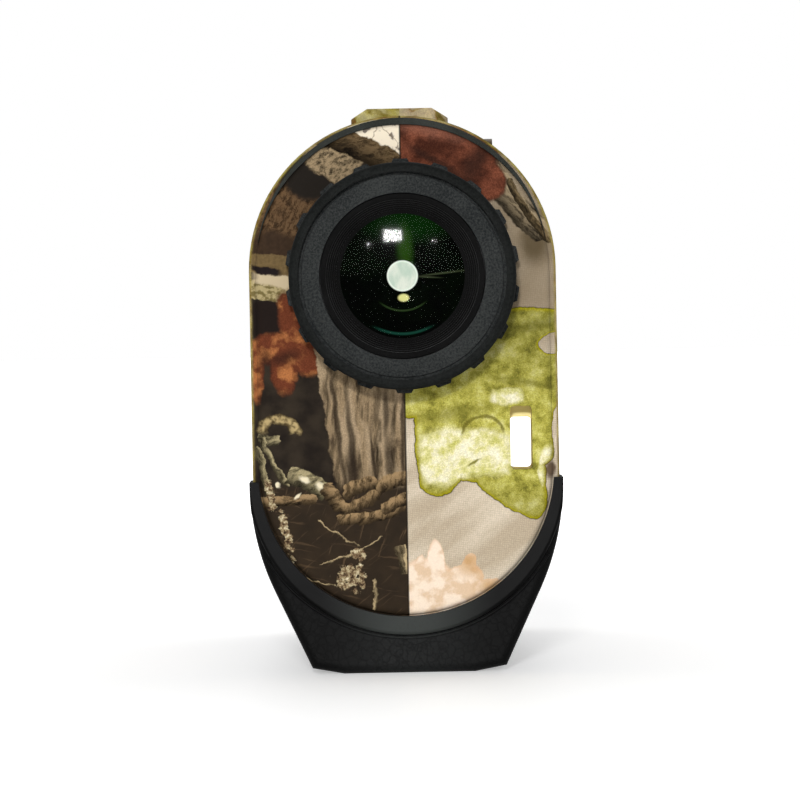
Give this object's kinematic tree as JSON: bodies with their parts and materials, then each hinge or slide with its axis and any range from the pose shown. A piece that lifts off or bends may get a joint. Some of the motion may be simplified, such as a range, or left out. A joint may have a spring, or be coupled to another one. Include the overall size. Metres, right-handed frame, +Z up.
{
  "type": "laser rangefinder",
  "caption": "Upright hand-held laser rangefinder: round eyepiece with focusing ring, two-piece printed casing, strap slot, rubber grip, top buttons and a coin-slot battery cap.",
  "frame": {"origin": "under the middle of the whole object's box, on the flat base it stands on", "axes": "+Z up, +Y forward along the line of sight towards the objective, +X to the user's right as they look through the eyepiece"},
  "size_m": [0.043, 0.104, 0.0784],
  "materials": {
    "camo_shell": "moulded shells with a printed woodland pattern under a satin clear coat",
    "rubber_black": "soft black rubber with a leather grain and a smooth lip",
    "band_black": "satin black trim",
    "bezel_black": "fine-textured black plastic",
    "barrel_charcoal": "finely speckled charcoal plastic",
    "eyecup_rubber": "soft charcoal rubber",
    "anodised_black": "black anodised",
    "lens_glass": "optical glass with green multi-coating",
    "prism_glass": "optical glass",
    "display_glass": "thin display glass",
    "inner_black": "matt black inner plastic",
    "seal_rubber": "black seal rubber",
    "circuit_green": "green solder mask",
    "chip_black": "black chip resin",
    "steel": "bright steel",
    "can_gold": "gold-plated metal can",
    "battery_sleeve": "plain printed metal sleeve",
    "spring_steel": "nickel-plated spring wire",
    "button_rubber": "soft-touch button rubber"
  },
  "bodies": {
    "housing": {"left_shell": "camo_shell", "right_shell": "camo_shell", "shell_screws": "steel", "trim_band": "band_black", "rubber_grip": "rubber_black", "front_bezel": "bezel_black", "eyepiece_barrel": "barrel_charcoal", "display_glass": "display_glass", "display_frame": "inner_black", "roof_prism": "prism_glass", "entry_prism": "prism_glass", "prism_holder": "inner_black", "optical_tube": "inner_black", "objective_cell": "anodised_black", "objective_crown": "lens_glass", "objective_flint": "lens_glass", "objective_retainer": "anodised_black", "objective_seal": "seal_rubber", "receiver_cell": "anodised_black", "receiver_lens": "lens_glass", "receiver_retainer": "anodised_black", "receiver_baffle": "inner_black", "light_sensor": "can_gold", "main_board": "circuit_green", "main_board_chips": "chip_black", "receiver_board": "circuit_green", "emitter_holder": "inner_black", "laser_diode": "can_gold", "button_board": "circuit_green", "tact_switches": "chip_black", "battery": "battery_sleeve", "battery_tube": "inner_black", "battery_spring": "spring_steel", "button_bezel": "camo_shell"},
    "diopter": {"diopter_ring": "barrel_charcoal", "eyecup": "eyecup_rubber"},
    "focus_cell": {"lens_cell": "anodised_black", "cell_pin": "steel", "cone_baffle": "inner_black", "eye_lens": "lens_glass", "lens_spacer": "anodised_black", "field_lens": "lens_glass"},
    "fire_key": {"fire_button": "button_rubber"},
    "mode_key": {"mode_button": "button_rubber"},
    "cap_carrier": {"cap_seal": "seal_rubber", "cap_contact": "spring_steel"},
    "cap": {"battery_cap": "bezel_black"}
  },
  "joints": [
    {"name": "diopter_turn", "type": "hinge", "parent": "housing", "child": "diopter", "pos_m": [0, -0.046, 0.0546], "axis": [0, 1, 0], "range_deg": [-60, 60]},
    {"name": "lens_cell_slide", "type": "slide", "parent": "housing", "child": "focus_cell", "axis": [0, 1, 0], "range_m": [-0.0016, 0.0016]},
    {"name": "fire_press", "type": "slide", "parent": "housing", "child": "fire_key", "axis": [0, 0, -1], "range_m": [0, 0.0008], "stiffness_N_per_m": 900, "springref_m": -0.0006},
    {"name": "mode_press", "type": "slide", "parent": "housing", "child": "mode_key", "axis": [0, 0, -1], "range_m": [0, 0.0008], "stiffness_N_per_m": 900, "springref_m": -0.0006},
    {"name": "cap_lift", "type": "slide", "parent": "housing", "child": "cap_carrier", "axis": [0, 0, -1], "range_m": [0, 0.003]},
    {"name": "cap_turn", "type": "hinge", "parent": "cap_carrier", "child": "cap", "pos_m": [0, -0.019, 0.002], "axis": [0, 0, -1], "range_deg": [0, 728]}
  ],
  "couplings": [
    {"joint": "lens_cell_slide", "follows": "diopter_turn", "m_per_rad": -0.0014324},
    {"joint": "cap_turn", "follows": "cap_lift", "rad_per_m": 4188.8}
  ]
}
